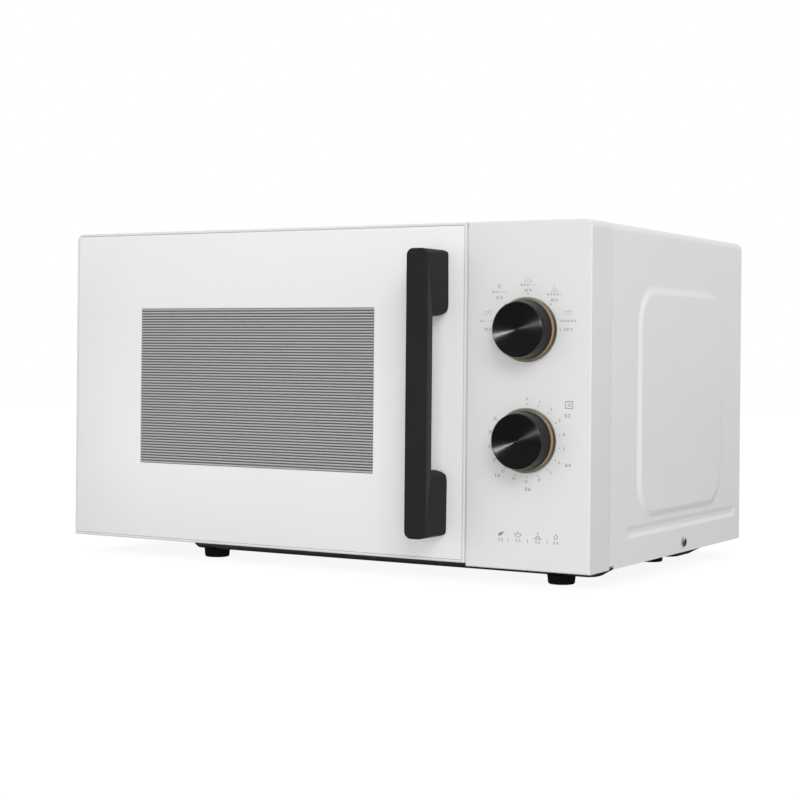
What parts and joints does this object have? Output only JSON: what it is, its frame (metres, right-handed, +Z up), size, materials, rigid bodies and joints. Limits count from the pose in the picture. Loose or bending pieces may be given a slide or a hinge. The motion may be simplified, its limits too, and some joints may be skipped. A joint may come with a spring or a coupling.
{
  "type": "microwave oven",
  "caption": "Worktop microwave oven with a hinged glass door, bar handle, striped window, power and timer dials, turntable on a roller ring and a fan-cooled machine bay.",
  "frame": {"origin": "middle of the footprint from the handle to the rear gland, on the floor under the feet", "axes": "+X to the right seen from the front, +Y to the back, +Z up; the door faces -Y"},
  "size_m": [0.4436, 0.3332, 0.25],
  "materials": {
    "white_paint": "white powder coat on sheet steel",
    "white_plastic": "white moulded plastic, semi-gloss",
    "white_glass": "flat glass, back-painted white round a striped window",
    "black_plastic": "black moulded plastic, satin",
    "black_knob": "black moulded plastic, semi-gloss",
    "spun_metal": "black anodised aluminium with a spun face",
    "bronze": "bronze-plated ring, polished",
    "zinc_steel": "galvanised sheet steel",
    "enamel": "pale grey cavity enamel",
    "screen_steel": "black-coated perforated steel",
    "grey_plastic": "grey moulded plastic",
    "clear_film": "clear polyester film",
    "mica": "mica sheet",
    "clear_glass": "pressed clear glass",
    "rubber": "black rubber-like plastic",
    "copper_coil": "enamelled windings",
    "steel": "plated steel",
    "aluminium": "aluminium",
    "beige_plastic": "beige moulded plastic",
    "green_board": "printed circuit board"
  },
  "bodies": {
    "cabinet": {"cabinet_wrap": "white_paint", "rear_panel": "zinc_steel", "base_plate": "zinc_steel", "feet": "rubber", "case_screws": "steel", "cord_gland": "black_plastic", "front_plate": "enamel", "cavity_floor": "enamel", "cavity_top": "enamel", "cavity_left_wall": "enamel", "cavity_right_wall": "enamel", "cavity_rear_wall": "enamel", "waveguide": "zinc_steel", "waveguide_cover": "mica", "magnetron": "zinc_steel", "magnetron_fins": "aluminium", "lamp_holder": "beige_plastic", "lamp_bulb": "clear_glass", "transformer_core": "steel", "transformer_coils": "copper_coil", "capacitor": "aluminium", "capacitor_clamp": "zinc_steel", "hv_diode": "black_plastic", "filter_board": "green_board", "thermal_cutout": "aluminium", "fan_bracket": "beige_plastic", "fan_motor": "steel", "control_panel": "white_plastic", "timer_unit": "beige_plastic", "interlock_board": "beige_plastic", "interlock_switches": "black_plastic", "turntable_motor": "zinc_steel", "upper_hinge": "zinc_steel", "lower_hinge": "zinc_steel"},
    "door": {"door_frame": "white_plastic", "door_glass": "white_glass", "door_screen": "screen_steel", "choke_panel": "zinc_steel", "choke_cover": "grey_plastic", "inner_film": "clear_film", "handle": "black_plastic", "handle_screws": "steel"},
    "latch": {"latch_slider": "beige_plastic", "latch_spring": "steel"},
    "power_dial": {"power_knob": "black_knob", "power_cap": "spun_metal", "power_ring": "bronze", "power_shaft": "steel"},
    "timer_dial": {"timer_knob": "black_knob", "timer_cap": "spun_metal", "timer_ring": "bronze", "timer_shaft": "steel"},
    "turntable": {"turntable_plate": "clear_glass", "turntable_coupler": "beige_plastic"},
    "roller_carrier": {"roller_ring": "beige_plastic"},
    "roller_1": {"roller_wheel_1": "beige_plastic"},
    "roller_2": {"roller_wheel_2": "beige_plastic"},
    "roller_3": {"roller_wheel_3": "beige_plastic"},
    "fan": {"fan_blade": "beige_plastic"}
  },
  "joints": [
    {"name": "door_hinge", "type": "hinge", "parent": "cabinet", "child": "door", "pos_m": [-0.213, -0.1086, 0.132], "axis": [0, 0, -1], "range_deg": [0, 100]},
    {"name": "latch_slide", "type": "slide", "parent": "door", "child": "latch", "axis": [0, 0, 1], "range_m": [0, 0.004], "stiffness_N_per_m": 300, "springref_m": -0.006, "deforming": ["latch_spring"]},
    {"name": "power_turn", "type": "hinge", "parent": "cabinet", "child": "power_dial", "pos_m": [0.173, -0.1331, 0.176], "axis": [0, 1, 0], "range_deg": [-90, 90]},
    {"name": "timer_turn", "type": "hinge", "parent": "cabinet", "child": "timer_dial", "pos_m": [0.173, -0.1331, 0.101], "axis": [0, 1, 0], "range_deg": [0, 300]},
    {"name": "turntable_spin", "type": "hinge", "parent": "cabinet", "child": "turntable", "pos_m": [-0.048, 0.0272, 0.052], "axis": [0, 0, 1], "continuous": true},
    {"name": "roller_carrier_spin", "type": "hinge", "parent": "cabinet", "child": "roller_carrier", "pos_m": [-0.048, 0.0272, 0.052], "axis": [0, 0, 1], "continuous": true},
    {"name": "fan_spin", "type": "hinge", "parent": "cabinet", "child": "fan", "pos_m": [0.1645, 0.1608, 0.164], "axis": [0, 1, 0], "continuous": true},
    {"name": "roller_1_spin", "type": "hinge", "parent": "roller_carrier", "child": "roller_1", "pos_m": [0.0445, 0.0272, 0.0445], "axis": [1, 0, 0], "continuous": true},
    {"name": "roller_2_spin", "type": "hinge", "parent": "roller_carrier", "child": "roller_2", "pos_m": [-0.09425, 0.10731, 0.0445], "axis": [-0.5, 0.866, 0], "continuous": true},
    {"name": "roller_3_spin", "type": "hinge", "parent": "roller_carrier", "child": "roller_3", "pos_m": [-0.09425, -0.05291, 0.0445], "axis": [-0.5, -0.866, 0], "continuous": true}
  ],
  "couplings": [
    {"joint": "roller_carrier_spin", "follows": "turntable_spin", "ratio": 0.5},
    {"joint": "roller_1_spin", "follows": "turntable_spin", "ratio": -6.4236},
    {"joint": "roller_2_spin", "follows": "turntable_spin", "ratio": -6.4236},
    {"joint": "roller_3_spin", "follows": "turntable_spin", "ratio": -6.4236}
  ]
}
